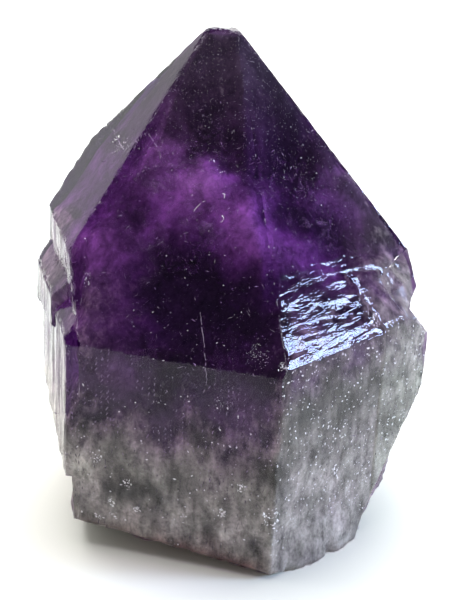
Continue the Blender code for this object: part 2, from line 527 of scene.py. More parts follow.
def slice_face(points, spacing):
    """One flat face cut into cells by planes across each axis. Returns the corner points of the cells."""
    cell = bmesh.new()
    cell.faces.new([cell.verts.new(point) for point in points])
    for axis in range(3):
        values = [point[axis] for point in points]
        normal = Vector([float(i == axis) for i in range(3)])
        first = math.floor(min(values) / spacing) + 1
        last = math.ceil(max(values) / spacing)
        for number in range(first, last):
            parts = cell.verts[:] + cell.edges[:] + cell.faces[:]
            level = normal * (number * spacing)
            bmesh.ops.bisect_plane(cell, geom=parts, dist=1e-7, plane_co=level, plane_no=normal)
    cells = [[vert.co.copy() for vert in face.verts] for face in cell.faces]
    cell.free()
    return cells


def sliced_crystal(spacing):
    """The CAD crystal with every face cut into small cells, and its edges still sharp."""
    whole = plain_faces()
    fine = bmesh.new()
    for face in whole.faces:
        for points in slice_face([vert.co.copy() for vert in face.verts], spacing):
            fine.faces.new([fine.verts.new(point) for point in points])
    whole.free()
    bmesh.ops.remove_doubles(fine, verts=fine.verts[:], dist=2e-6)
    loose = [vert for vert in fine.verts if not vert.link_faces]
    bmesh.ops.delete(fine, geom=loose, context="VERTS")
    bmesh.ops.recalc_face_normals(fine, faces=fine.faces[:])
    fine.normal_update()
    fine.verts.index_update()
    fine.faces.index_update()
    return fine


def kind_of(face):
    """The name of the grown face that a cell lies on, or bottom, or break."""
    if face.normal.z < -SAME_FACE:
        return "bottom"
    for name, normal in GROWN.items():
        if face.normal.dot(normal) > SAME_FACE:
            return name
    return "break"


def flush_kind(face, kind):
    """The kind of a cell, with the small steps between the parts of the right prism face counted to it."""
    outward = GROWN["prism_right"]
    away = [vert.co.dot(outward) / MM - RIGHT_PRISM for vert in face.verts]
    flush = min(away) > FLUSH_BETWEEN[0] and max(away) < FLUSH_BETWEEN[1]
    return "prism_right" if kind != "bottom" and flush else kind


def neighbour_pairs(mesh):
    """The two ends of every edge, as an array of vertex numbers."""
    return np.array([[end.index for end in edge.verts] for edge in mesh.edges])


def spread(values, pairs, rounds):
    """Values on the vertices, each drawn halfway to the middle of its neighbours', several times."""
    count = np.zeros(len(values))
    np.add.at(count, pairs[:, 0], 1.0)
    np.add.at(count, pairs[:, 1], 1.0)
    count = count.reshape((-1,) + (1,) * (values.ndim - 1))
    for _ in range(rounds):
        total = np.zeros_like(values)
        np.add.at(total, pairs[:, 0], values[pairs[:, 1]])
        np.add.at(total, pairs[:, 1], values[pairs[:, 0]])
        values = 0.5 * values + 0.5 * total / count
    return values


def terraced(p):
    """How much the right face is terraced at a point p, in millimetres: fully near its lower front corner."""
    return rise(*TERRACE_TOP, p.z) * rise(*TERRACE_RIGHT, p.x)


def terrace(p, settings):
    """How far the right leaning face is raised at a point p, in millimetres, and how far lowered.

    The terraces raise it, and the tilt beyond the step line lowers it.
    """
    where = terraced(p)
    level = p.z + TERRACE_DIP * p.dot(STEP_WAY)
    climb = (-level * SLOPE_STRETCH + TERRACE_WAVER * rough(p, 7.0, 3, 3.0)) / TERRACE_SPACING
    step = climb - math.floor(climb)
    saw = min(step / TERRACE_CLIMB, (1.0 - step) / (1.0 - TERRACE_CLIMB))
    drawn_out = Vector((p.x * 0.3, p.y * 0.3, level * 1.4))
    where *= rise(*TERRACE_FOOT, p.z)
    raised = where * settings.terrace_height * (0.4 * saw + 0.6 * rough(drawn_out, 1.9, 4, 13.0))
    return raised, MM * STEP_TILT * rise(*STEP_FADE, p.z) * max(0.0, p.dot(STEP_WAY) - STEP_PLACE)


def growth(kind, p, settings):
    """How far a point p, in millimetres, on a grown face of that kind stands out from its plane."""
    low = settings.growth_height * rough(p, 9.0, 4)
    if kind == "rhomb_right":
        raised, tilted = terrace(p, settings)
        low += raised
        low -= tilted
    if kind.startswith("prism"):
        band = rough(Vector((p.x, p.y, p.z * 9.0)), 12.0, 3, 5.0)
        streak = stretched(p, 1.1, 9.0, 2.0)
        root = rise(*STREAK_FADE, p.z)
        low += 0.5 * settings.growth_height * band * (1.0 - root)
        low += settings.streak_height * streak * (HEAD_STREAKS + (1.0 - HEAD_STREAKS) * root)
        if kind in ("prism_right", "prism_left"):
            low += settings.streak_height * stretched(p, 0.9, 14.0, 8.0)
        low += ROOT_LUMPS * MM * root * rough(p, 2.6, 3, 4.0)
    if kind == "prism_left":
        low += settings.blade_height * stretched(p, 2.5, 16.0, 18.0)
    if kind == "tip":
        low += TIP_LUMPS * MM * rough(p, 1.4, 3, 1.0)
    return low


def hackle(p, settings):
    """How far a point p, in millimetres, on a break stands out from its plane."""
    shell = abs(rough(p, 7.0, 2, 6.0)) - 0.25
    return settings.break_depth * (0.8 * shell + 0.35 * rough(p, 2.4, 3, 9.0) - 0.1)


def nick(p, around, settings):
    """How deep an edge is nicked at a point p, in millimetres. The left edges are nicked the most."""
    left = "prism_left" in around or "rhomb_left" in around or "rhomb_back_left" in around
    worn = NICKED_LEFT if left else NICKED_ELSEWHERE
    if p.z < WORN_BELOW / MM and "prism_front" in around and "prism_right" in around:
        worn = NICKED_FRONT
    return settings.nick_depth * worn * max(0.0, 0.25 + rough(p, 2.6, 3, 31.0))


def foot_shift(p):
    """How the foot swells on the right prism face and is chipped all round, at a point p in millimetres."""
    outward = GROWN["prism_right"]
    near = rise(29.0, 35.0, p.dot(outward))
    along = rise(11.0, 16.0, p.x) * rise(26.0, 21.0, p.x)
    swollen = outward * (FOOT_BULGE * near * along * rise(9.0, 0.0, p.z))
    away = Vector((p.x, p.y, 0.0)).normalized()
    chipped = max(0.0, 0.1 + rough(Vector((p.x, p.y, 0.4 * p.z)), 2.8, 3, 71.0)) * rise(3.4, 0.4, p.z)
    return swollen - away * (FOOT_CHIPS * chipped)


def faces_around(fine, kinds):
    """For every point, the kinds of the faces that meet there, each with its outward normal."""
    meets = []
    for vert in fine.verts:
        around = {}
        for face in vert.link_faces:
            kind = kinds[face.index]
            around.setdefault(kind, Vector((0.0, 0.0, 0.0)))
            around[kind] += GROWN.get(kind, face.normal)
        meets.append({kind: normal.normalized() for kind, normal in around.items()})
    return meets


def skin_shift(vert, around, broken, settings):
    """How far one point of the skin is moved: growth, hackles, nicks and the swollen, chipped foot."""
    p = vert.co / MM
    shift = Vector(broken)
    for _ in range(2):
        for kind, normal in around.items():
            if kind != "break":
                shift -= normal * shift.dot(normal)
    for kind, normal in around.items():
        if kind not in ("break", "bottom"):
            shift += normal * growth(kind, p, settings)
    if len(around) > 1 and "bottom" not in around:
        corner = sum((normal for normal in around.values()), Vector((0.0, 0.0, 0.0))).normalized()
        shift -= corner * nick(p, around, settings)
    if "prism_right" in around:
        outward = GROWN["prism_right"]
        shift += outward * (RIGHT_PRISM * MM - vert.co.dot(outward))
    shift += foot_shift(p)
    if "bottom" in around:
        shift.z = 0.0
    return shift


def frosted_share(p, around, broken_share):
    """How frosted the skin is at a point p, in millimetres."""
    value = max(0.0, broken_share * 1.2 - 0.1)
    if "tip" in around:
        value = max(value, TIP_FROST)
    if p.z > GLOSSY_ABOVE[0] and p.x > GLOSSY_ABOVE[1]:
        value *= GLOSSY_SHARE
    if any(kind.startswith("prism") for kind in around):
        value = max(value, ROOT_FROST * rise(*FROST_FADE, p.z + 5.0 * rough(p, 6.0, 3, 2.0)))
    return min(1.0, value)


def shape_skin(fine, settings):
    """Moves the points of the sliced crystal, and notes where it is frosted and where terraced."""
    kinds = [flush_kind(face, kind_of(face)) for face in fine.faces]
    meets = faces_around(fine, kinds)
    pairs = neighbour_pairs(fine)
    broken = np.zeros((len(fine.verts), 3))
    frosted = np.zeros(len(fine.verts))
    for vert, around in zip(fine.verts, meets):
        if "break" in around:
            broken[vert.index] = around["break"] * hackle(vert.co / MM, settings)
            frosted[vert.index] = 1.0
    broken = spread(broken, pairs, 2)
    frosted = spread(frosted, pairs, 2)
    shifts = [
        skin_shift(vert, around, broken[vert.index], settings) for vert, around in zip(fine.verts, meets)
    ]
    frost = fine.verts.layers.float.new("frost")
    brushed = fine.verts.layers.float.new("brushed")
    for vert, around in zip(fine.verts, meets):
        p = vert.co / MM
        vert[frost] = frosted_share(p, around, float(frosted[vert.index]))
        if "rhomb_right" in around:
            vert[brushed] = terraced(p)
    for edge in fine.edges:
        names = {kinds[face.index] for face in edge.link_faces}
        flush = names == {"prism_right"}
        worn = edge.verts[0].co.z < WORN_BELOW and names == {"prism_right", "prism_front"}
        edge.smooth = edge.calc_face_angle(0.0) < SHARP or flush or worn
    for vert, shift in zip(fine.verts, shifts):
        vert.co += shift
    for face in fine.faces:
        face.smooth = True


def inward(p):
    """The way from a point p, in millimetres, straight in to the core line."""
    z = max(CORE_FROM, min(p.z, CORE_BEND + CORE_SLOWER * (p.z - CORE_BEND)))
    return Vector((CORE_LINE[0], CORE_LINE[1], z)) - p


def zone_weight(p, zones):
    """How much the strongest of these zones holds at a point p, in millimetres."""
    best = 0.0
    for middle, reach, strength in zones:
        away = (p - Vector(middle)).length / reach + 0.35 * rough(p, reach * 0.6, 3, reach)
        best = max(best, strength * rise(1.25, 0.35, away))
    return best


def milkiness(p):
    """How milky the quartz is below a point p, in millimetres: 1 at the root, 0 in the head."""
    edge = MILK_EDGE + MILK_HIGHER * rise(*RIGHT_SIDE, p.x)
    edge += 6.0 * rough(p, 9.0, 4, 1.0) + 4.0 * rough(p, 3.0, 3, 15.0)
    return max(rise(edge + MILK_FADE[0], edge - MILK_FADE[1], p.z), zone_weight(p, HAZE_ZONES))


def core_depth(p, root, glow, clear, edge, settings):
    """How deep the core lies below a point p, in millimetres. The depth itself is in metres."""
    depth = settings.cloud_depth * (1.0 - 0.35 * glow) + settings.window_depth * clear
    depth *= 1.0 + 0.13 * rough(p, 8.0, 4, 7.0)
    depth *= 1.0 - 0.8 * rise(*TIP_FADE, p.z)
    depth *= 1.0 - 0.75 * edge
    shallow = settings.root_depth * (1.0 + 0.5 * rough(p, 3.0, 3, 2.0))
    head = (1.0 - root) ** 2.0
    return depth * head + shallow * (1.0 - head)


def cloudiness(p, glow, clear, edge):
    """How cloudy the head is below a point p, in millimetres."""
    body = 0.15 + 0.2 * rough(p, 7.0, 4, 5.0)
    body *= 1.0 - 0.45 * rise(4.0, 12.0, p.x)
    body *= 1.0 - 0.75 * rise(54.0, 70.0, p.z)
    upright = rise(35.0, 36.3, p.dot(GROWN["prism_front"]))
    shown = min(1.0, max(0.0, body + 0.45 * glow)) * (1.0 - 0.85 * clear) * (1.0 - 0.85 * edge)
    return shown * (1.0 - 0.62 * upright)


def milk_tone_with_painted_shade(p, root):
    """How light the milk is below a point p, in millimetres: blotched, with painted shade that darkens the
    front face and the milk higher up.
    """
    # Painted shade: the front face is darker, and the milk darkens higher up, most of all on the right
    painted_front_shade = 0.26 * rise(13.0, 7.0, p.x) * rise(-20.0, -28.0, p.y)
    blotch = 0.66 * rough(p, 5.5, 4, 17.0) + 0.5 * stretched(p, 1.6, 4.5, 19.0)
    right = rise(9.5, 11.5, p.x)
    blotch *= 1.0 - 0.4 * right
    painted_shade_left = 0.3 * rise(12.0, 26.0, p.z)
    painted_shade_right = 0.06 + 0.22 * rise(5.0, 20.0, p.z) + 0.75 * rise(16.0, 32.0, p.z) * rise(34.0, 18.0, p.x)
    painted_shade = painted_shade_left + (painted_shade_right - painted_shade_left) * right
    return max(DARKEST, 1.0 + root * (blotch - painted_front_shade - painted_shade - zone_weight(p, DULL_ZONES)))


def rust(p):
    """How rusty the broken front rim is at a point p, in millimetres."""
    front = rise(-28.0, -34.0, p.y) * rise(12.0, 6.0, p.x)
    return front * rise(7.0, 1.0, p.z + 2.0 * rough(p, 6.0, 3, 3.0))


def core_mesh(settings):
    """The cloudy inside, as one closed surface that lies shallow in the milky root and deep in the head."""
    fine = sliced_crystal(settings.spacing)
    milk, pale, tone, stain = [fine.verts.layers.float.new(name) for name in CORE_LAYERS]
    for vert in fine.verts:
        p = vert.co / MM
        root = milkiness(p)
        clear = zone_weight(p, CLEAR_ZONES) * (1.0 - root)
        glow = zone_weight(p, GLOW_ZONES) * (1.0 - root)
        edge = zone_weight(p, EDGE_ZONES)
        way = inward(p)
        depth = min(core_depth(p, root, glow, clear, edge, settings), DEEPEST * way.length * MM)
        vert.co += way.normalized() * depth + foot_shift(p)
        vert[milk] = root
        vert[pale] = cloudiness(p, glow, clear, edge)
        # The tone holds the milk's blotches and its painted shade
        vert[tone] = milk_tone_with_painted_shade(p, root)
        vert[stain] = rust(p)
    # The creases that the crystal's edges leave are smoothed away, most of all in the head
    before = np.array([vert.co for vert in fine.verts])
    after = spread(before, neighbour_pairs(fine), CREASE_ROUNDS)
    for vert in fine.verts:
        moved = (1.0 - vert[milk]) * rise(70.0, 60.0, vert.co.z / MM)
        vert.co = Vector(before[vert.index]).lerp(Vector(after[vert.index]), moved)
    for face in fine.faces:
        face.smooth = True
    return fine


def add_flake(mesh, middle, outward, along, half_width, half_length):
    """Adds one four-cornered flake at a point, in metres, flat to outward and drawn out along."""
    across = outward.cross(along)
    corners = (along * half_length, across * half_width, along * -half_length, across * -half_width)
    mesh.faces.new([mesh.verts.new(middle + corner) for corner in corners])


def any_way(chance):
    """A random direction of length 1."""
    return Vector((chance.gauss(0, 1), chance.gauss(0, 1), chance.gauss(0, 1))).normalized()


def crystal_cells(spacing):
    """The middle, the outward normal, the kind and the area of every cell of the sliced crystal."""
    fine = sliced_crystal(spacing)
    cells = [
        (face.calc_center_median(), face.normal.copy(), kind_of(face), face.calc_area())
        for face in fine.faces
    ]
    fine.free()
    return cells


def cells_between(cells, kind, low, high):
    """The cells of that kind between two heights in millimetres."""
    return [cell for cell in cells if cell[2] == kind and low < cell[0].z / MM < high]


def drawn_cells(chance, cells, count):
    """The middle and the outward normal of that many cells, drawn by their area."""
    if not cells:
        return []
    return [cell[:2] for cell in chance.choices(cells, [cell[3] for cell in cells], k=count)]


def add_ribbon(mesh, points, half_width, chance):
    """Adds a thin ragged ribbon along points given in millimetres, just under the surface."""
    line = []
    for first, last in zip(points, points[1:]):
        first, last = Vector(first), Vector(last)
        steps = max(2, int((last - first).length / RIBBON_PIECE))
        line += [first.lerp(last, number / steps) for number in range(steps)]
    line.append(Vector(points[-1]))
    rows = []
    for number, point in enumerate(line):
        ahead = line[min(number + 1, len(line) - 1)] - line[max(number - 1, 0)]
        into = inward(point).normalized()
        side = ahead.cross(into).normalized()
        spot = point + into * UNDER_SKIN + side * chance.gauss(0.0, 0.06)
        width = side * half_width * chance.uniform(0.25, 1.4)
        rows.append((mesh.verts.new((spot - width) * MM), mesh.verts.new((spot + width) * MM)))
    for (a, b), (c, d) in zip(rows, rows[1:]):
        if chance.random() < RIBBON_WHOLE:
            mesh.faces.new((a, b, d, c))


def speck_mesh(settings, cells):
    """Fine specks all through the clear head, and veils of specks along bent sheets."""
    chance = random.Random(11)
    upper = [cell for cell in cells if cell[0].z > SPECKS_ABOVE * MM and cell[2] != "bottom"]
    mesh = bmesh.new()
    for middle, outward in drawn_cells(chance, upper, settings.specks):
        p = middle / MM + any_way(chance) * 0.5
        depth = 0.15 + 4.0 * chance.random() ** 1.8
        spot = p - outward * depth
        if rough(spot, 6.0, 3, 12.0) + 0.25 < chance.random() * 0.9:
            continue
        size = (0.028 + 0.05 * chance.random() ** 3) * MM
        outward = any_way(chance)
        along = outward.cross(any_way(chance)).normalized()
        add_flake(mesh, spot * MM, outward, along, size, size * chance.choice(SPECK_LENGTHS))
    for middle, outward in drawn_cells(chance, upper, settings.veils * 4):
        p = middle / MM + any_way(chance) * 0.5
        depth = 0.3 + 4.5 * chance.random()
        spot = p - outward * depth
        sheet = abs(rough(spot, 10.0, 2, 21.0))
        patch = rise(0.0, 0.35, rough(spot, 8.0, 3, 30.0))
        if sheet > 0.035 or chance.random() > patch:
            continue
        size = (0.04 + 0.06 * chance.random() ** 2) * MM
        add_flake(mesh, spot * MM, any_way(chance), UP, size, size)
    for points, half_width in DIM_LINES:
        add_ribbon(mesh, points, half_width, chance)
    front = [cell for cell in upper if cell[2] == "prism_front"]
    for middle, outward in drawn_cells(chance, front, settings.dashes):
        p = middle / MM
        if rough(p, 4.5, 3, 61.0) < chance.random() * 0.5 - 0.15:
            continue
        along = (UP + 0.8 * any_way(chance)).cross(outward).cross(outward).normalized()
        spot = p - outward * chance.uniform(0.15, 1.6)
        size = (0.03 + 0.06 * chance.random() ** 2) * MM
        add_flake(mesh, spot * MM, outward, along, size, size * chance.uniform(1.0, 5.0))
    return mesh


def veil_mesh():
    """Bent sheets through the head, which hold the fine wisps of healed cracks."""
    chance = random.Random(23)
    mesh = bmesh.new()
    layer = mesh.verts.layers.float.new("veil")
    steps = [number / VEIL_CELLS for number in range(VEIL_CELLS + 1)]
    for middle, reach, outward in VEILS:
        into = -facing(*outward)
        side = into.cross(UP).normalized()
        up = side.cross(into).normalized()
        bend = chance.uniform(-0.25, 0.25)
        twist = chance.uniform(0.0, 60.0)
        rows = []
        for i in steps:
            row = []
            for j in steps:
                u = (i - 0.5) * 2.0 * reach
                v = (j - 0.5) * 2.0 * reach
                p = Vector(middle) + side * u + up * v
                p += into * (bend * (u * u + v * v) / reach + 1.2 * rough(p, 6.0, 3, twist))
                vert = mesh.verts.new(p * MM)
                vert[layer] = rise(*VEIL_FADE, math.hypot(i * 2.0 - 1.0, j * 2.0 - 1.0))
                row.append(vert)
            rows.append(row)
        for one, two in zip(rows, rows[1:]):
            for a, b, c, d in zip(one, one[1:], two[1:], two):
                mesh.faces.new((a, b, c, d))
    thin = [face for face in mesh.faces if max(vert[layer] for vert in face.verts) < 0.02]
    bmesh.ops.delete(mesh, geom=thin, context="FACES")
    return mesh


def sharp_edges(spacing):
    """The middle, the way along, the outward way and the two kinds of every sharp edge piece."""
    fine = sliced_crystal(spacing)
    found = []
    for edge in fine.edges:
        if len(edge.link_faces) == 2 and edge.calc_face_angle(0.0) > SHARP:
            one, two = edge.link_faces
            kinds = frozenset((flush_kind(one, kind_of(one)), flush_kind(two, kind_of(two))))
            if len(kinds) == 2 and "bottom" not in kinds:
                first, last = edge.verts
                along = (last.co - first.co).normalized()
                outward = (one.normal + two.normal).normalized()
                found.append(((first.co + last.co) / 2, along, outward, kinds))
    fine.free()
    return found


def chip_and_glint_mesh(cells):
    """Bright pits, chips and painted glints just under the surface, and pale wear along the sharp edges."""
    chance = random.Random(5)
    mesh = bmesh.new()
    # The sparkles are painted glints: white flakes where the faces would catch the light
    for kind, count, low, high, largest in PAINTED_GLINTS:
        for middle, outward in drawn_cells(chance, cells_between(cells, kind, low, high), count):
            p = middle / MM + any_way(chance) * 0.3
            p -= outward * ((p - middle / MM).dot(outward) + 0.12)
            size = largest * (0.25 + 0.75 * chance.random() ** 2.0) * MM
            facing_way = (outward + 0.5 * any_way(chance)).normalized()
            along = facing_way.cross(any_way(chance)).normalized()
            add_flake(mesh, p * MM, facing_way, along, size, size * chance.uniform(0.8, 2.2))
    for points, half_width in BRIGHT_LINES:
        add_ribbon(mesh, points, half_width, chance)
    for middle, reach, count, largest in CHIP_CLUSTERS:
        into = inward(Vector(middle)).normalized()
        for _ in range(count):
            p = Vector(middle) + any_way(chance) * reach * chance.random() ** 0.4
            p -= into * (p - Vector(middle)).dot(into)
            facing_way = (any_way(chance) - into).normalized()
            along = facing_way.cross(any_way(chance)).normalized()
            size = largest * chance.uniform(0.25, 1.0) * MM
            spot = (p + into * UNDER_SKIN) * MM
            add_flake(mesh, spot, facing_way, along, size, size * chance.uniform(0.8, 2.0))
    for middle, along, outward, kinds in sharp_edges(WEAR_PIECE * MM):
        p = middle / MM
        often = EDGE_WEAR.get(kinds, OTHER_WEAR) * (0.5 + rough(p, 5.0, 3, 44.0))
        # Low on the front ridge the extra pale flakes are a painted highlight as well as wear
        if kinds == RIDGE:
            often += RIDGE_WEAR_AND_HIGHLIGHT * rise(50.0, 40.0, p.z)
        if chance.random() < often:
            spot = middle - outward * chance.uniform(0.14, 0.3) * MM
            facing_way = (outward + 0.4 * any_way(chance)).normalized()
            width = chance.uniform(0.015, 0.045) * MM
            add_flake(mesh, spot, facing_way, along, width, chance.uniform(0.08, 0.3) * MM)
    leaning = [cell for cell in cells if cell[2] in ("rhomb_front", "rhomb_right", "rhomb_left")]
    for middle, outward in drawn_cells(chance, leaning, SCRATCHES):
        along = outward.cross(any_way(chance)).normalized()
        spot = middle - outward * chance.uniform(0.12, 1.2) * MM
        add_flake(mesh, spot, outward, along, SCRATCH_WIDTH * MM, chance.uniform(0.15, 0.7) * MM)
    blade = [cell for cell in cells if cell[2] == "prism_left" and cell[0].z > 4.0 * MM]
    for middle, outward in drawn_cells(chance, blade, BLADE_STREAKS):
        p = middle / MM
        if stretched(p, 1.5, 14.0, 3.0) < 0.0:
            continue
        spot = (p - outward * 0.15) * MM
        add_flake(mesh, spot, outward, UP, chance.uniform(0.03, 0.1) * MM, chance.uniform(0.5, 2.4) * MM)
    return mesh


def pit_mesh(cells):
    """Small dark upright pits and cracks just under the prism faces."""
    chance = random.Random(31)
    mesh = bmesh.new()
    for kind, count, low, high in DARK_PITS:
        for middle, outward in drawn_cells(chance, cells_between(cells, kind, low, high), count):
            p = middle / MM
            if rough(p, 4.0, 3, 51.0) < 0.3 * chance.random() - 0.1:
                continue
            lean = any_way(chance) * 0.35
            along = (UP + lean - outward * lean.dot(outward)).normalized()
            spot = (p + along * chance.uniform(-0.4, 0.4) - outward * 0.14) * MM
            half_length = (0.1 + 0.5 * chance.random() ** 3) * MM
            add_flake(mesh, spot, outward, along, chance.uniform(0.03, 0.09) * MM, half_length)
    return mesh


def skin_material(settings):
    """Clear purple quartz: glassy where it grew, frosted where it broke.

    The eye gets sharp reflections from the grown faces, and a purple that deepens with the way
    through the quartz, because its volume takes up green first. Shadow rays and diffuse rays pass
    the surface unbent, so that what is sealed inside is lit.
    """
    material, tree, place = new_material("Quartz, amethyst, grown faces and fresh breaks")
    frost = add_node(tree, "Attribute", "Fac", {"attribute_name": "frost"})
    # Faint smears of about 4 mm on the glossy faces
    smear = add_node(tree, "TexNoise", "Fac", {"Scale": 250.0, "Detail": 4.0, "Vector": place})
    smooth_face = add_node(tree, "MapRange", "Result", {
        "Value": smear,
        "From Min": 0.35,
        "From Max": 0.7,
        "To Min": settings.gloss,
        "To Max": settings.gloss * 3.0,
    })
    roughness = add_node(
        tree, "MapRange", "Result", {"Value": frost, "To Min": smooth_face, "To Max": settings.frost}
    )
    # Growth texture of about 0.6 mm, drawn coarser than the real one so that it shows
    grain = add_node(tree, "TexNoise", "Fac", {"Scale": 1600.0, "Detail": 3.0, "Vector": place})
    brushed = add_node(tree, "Attribute", "Fac", {"attribute_name": "brushed"})
    least = add_node(tree, "MapRange", "Result", {"Value": brushed, "To Min": 0.03, "To Max": 0.02})
    strength = add_node(tree, "MapRange", "Result", {"Value": frost, "To Min": least, "To Max": 0.6})
    bump = add_node(
        tree, "Bump", "Normal", {"Distance": GRAIN_HEIGHT * MM, "Strength": strength, "Height": grain}
    )
    # Fine terraces about 0.6 mm apart and 2.4 mm long that run level across the lower right face
    strike = Vector((-GROWN["rhomb_right"].y, GROWN["rhomb_right"].x, 0.0)).normalized()
    climb = STEP_WAY * TERRACE_DIP + UP
    along, across = [
        add_node(tree, "VectorMath", "Value", {"operation": "DOT_PRODUCT", 0: place, 1: tuple(way * scale)})
        for way, scale in ((strike, 420.0), (climb, 1700.0))
    ]
    spot = add_node(tree, "CombineXYZ", "Vector", {"X": along, "Y": across})
    terraces = add_node(
        tree, "TexNoise", "Fac", {"Scale": 1.0, "Detail": 1.0, "Distortion": 0.9, "Vector": spot}
    )
    bump = add_node(tree, "Bump", "Normal", {
        "Distance": FINE_TERRACES * MM, "Strength": brushed, "Height": terraces, "Normal": bump,
    })
    glass = add_node(tree, "BsdfPrincipled", "BSDF", {
        "Base Color": (1.0, 1.0, 1.0, 1.0),
        "IOR": QUARTZ_IOR,
        "Transmission Weight": 1.0,
        "Specular Tint": (0.42, 0.42, 0.44, 1.0),
        "Roughness": roughness,
        "Normal": bump,
    })
    open_way = add_node(tree, "BsdfTransparent", "BSDF", {})
    shadow = add_node(tree, "LightPath", "Is Shadow Ray", {})
    diffuse = shadow.node.outputs["Is Diffuse Ray"]
    unbent = add_node(tree, "Math", "Value", {"operation": "MAXIMUM", 0: shadow, 1: diffuse})
    surface = add_node(tree, "MixShader", "Shader", {0: unbent, 1: glass, 2: open_way})
    volume = add_node(tree, "VolumeAbsorption", "Volume", {
        "Color": tuple(settings.let_through), "Density": settings.density,
    })
    add_node(tree, "OutputMaterial", None, {"Surface": surface, "Volume": volume})
    return material


def core_material(settings):
    """Milky and cloudy quartz, seen through the clear skin.

    The eye gets mottled grey near the root, darkened by painted shade on the front and higher up, pale
    lilac clouds in the head, and painted darkness where the quartz is clear. The purple comes from the
    quartz in front of it.
    """
    material, tree, place = new_material("Quartz, milky with sealed cloud, grown")
    milk, pale, tone, stain = [
        add_node(tree, "Attribute", "Fac", {"attribute_name": name}) for name in CORE_LAYERS
    ]
    # Mottles of about 1.8 mm, drawn out a little along the c axis
    drawn = add_node(tree, "VectorMath", "Vector", {"operation": "MULTIPLY", 0: place, 1: (1.0, 1.0, 0.65)})
    mottle = add_node(
        tree, "TexNoise", "Fac", {"Scale": 560.0, "Detail": 6.0, "Roughness": 0.65, "Vector": drawn}
    )
    # The clouds in the head are patchy, with patches of about 3.7 mm
    patchy = add_node(tree, "TexNoise", "Fac", {
        "Scale": 270.0, "Detail": 8.0, "Roughness": 0.66, "Distortion": 0.7, "Vector": place,
    })
    patchy = add_node(tree, "MapRange", "Result", {
        "Value": patchy, "From Min": 0.3, "From Max": 0.7, "To Min": 0.35, "To Max": 1.65,
    })
    pale = add_node(tree, "Math", "Value", {"operation": "MULTIPLY", "use_clamp": True, 0: patchy, 1: pale})
    # The milk ends in torn patches, not in an even fade
    torn = add_node(tree, "Math", "Value", {"operation": "MULTIPLY_ADD", 0: mottle, 1: 1.7, 2: -1.35})
    torn = add_node(tree, "Math", "Value", {"operation": "ADD", 0: torn, 1: milk})
    milk = add_node(
        tree, "Math", "Value", {"operation": "MULTIPLY_ADD", "use_clamp": True, 0: torn, 1: 1.8, 2: 0.5}
    )
    # Fibres of 0.7 by 3 mm along the c axis and grain of about 0.5 mm. With the mottles they are
    # strong in the milky root and fainter in the head
    drawn = add_node(
        tree, "VectorMath", "Vector", {"operation": "MULTIPLY", 0: place, 1: (1500.0, 1500.0, 300.0)}
    )
    fibres = add_node(
        tree, "TexNoise", "Fac", {"Scale": 1.0, "Detail": 3.0, "Roughness": 0.6, "Vector": drawn}
    )
    grain = add_node(
        tree, "TexNoise", "Fac", {"Scale": 1900.0, "Detail": 3.0, "Roughness": 0.65, "Vector": place}
    )
    total = MOTTLE_MIDDLE
    for pattern, weight in ((mottle, 2.8), (fibres, 0.9), (grain, 1.5)):
        values = {"operation": "MULTIPLY_ADD", 0: pattern, 1: weight, 2: total}
        total = add_node(tree, "Math", "Value", values)
    strength = add_node(tree, "MapRange", "Result", {"Value": milk, "To Min": 0.55, "To Max": 1.0})
    speckle = add_node(tree, "Math", "Value", {"operation": "MULTIPLY_ADD", 0: total, 1: strength, 2: 1.0})
    # The tone brings in the milk's painted shade
    speckle = add_node(tree, "Math", "Value", {"operation": "MULTIPLY", 0: speckle, 1: tone})
    # Where there is neither cloud nor milk, the core shows the painted darkness of the clear depths
    mixed = tuple(settings.dark)
    for share_of, tint in ((pale, settings.cloud), (milk, settings.milk), (stain, settings.stain)):
        mixed = add_node(tree, "Mix", 2, {"data_type": "RGBA", 0: share_of, 6: mixed, 7: tuple(tint)})
    shaded = add_node(tree, "VectorMath", "Vector", {"operation": "SCALE", 0: mixed, "Scale": speckle})
    add_matt_surface(tree, {"Base Color": shaded, "Roughness": 0.8})
    return material


def add_matt_surface(tree, values):
    """Ends a material in a surface that has no gloss of its own."""
    shader = add_node(tree, "BsdfPrincipled", "BSDF", {"Specular IOR Level": 0.0, **values})
    add_node(tree, "OutputMaterial", None, {"Surface": shader})


def dimmed(tint, by):
    """A colour made darker."""
    return tuple(part * by for part in tint[:3]) + (1.0,)


def veil_material(settings):
    """Healed cracks: sheets of tiny bubbles. The eye gets pale wisps with clear gaps between them."""
    material, tree, place = new_material("Quartz, healed cracks, wispy")
    # Wisps of about 2.5 mm, bent and torn
    wisp = add_node(tree, "TexNoise", "Fac", {
        "Scale": 400.0, "Detail": 9.0, "Roughness": 0.75, "Distortion": 1.2, "Vector": place,
    })
    cover = add_node(tree, "MapRange", "Result", {
        "Value": wisp, "From Min": 0.5, "From Max": 0.78, "To Max": settings.veil_cover,
    })
    fade = add_node(tree, "Attribute", "Fac", {"attribute_name": "veil"})
    cover = add_node(tree, "Math", "Value", {"operation": "MULTIPLY", 0: cover, 1: fade})
    pale = tuple(settings.speck)
    tint = add_node(tree, "Mix", 2, {"data_type": "RGBA", 0: wisp, 6: dimmed(pale, 0.7), 7: pale})
    add_matt_surface(tree, {"Base Color": tint, "Alpha": cover, "Roughness": 0.8})
    return material


def fleck_material(title, tint):
    """Tiny healed cracks and pits that scatter light, and painted glints. The eye gets pale points, dimmer
    with depth.
    """
    material, tree, place = new_material(title)
    # Patches of about 3 mm, brighter and duller
    patch = add_node(tree, "TexNoise", "Fac", {"Scale": 330.0, "Detail": 3.0, "Vector": place})
    mixed = add_node(tree, "Mix", 2, {"data_type": "RGBA", 0: patch, 6: dimmed(tint, 0.45), 7: tuple(tint)})
    add_matt_surface(tree, {"Base Color": mixed, "Roughness": 0.6})
    return material


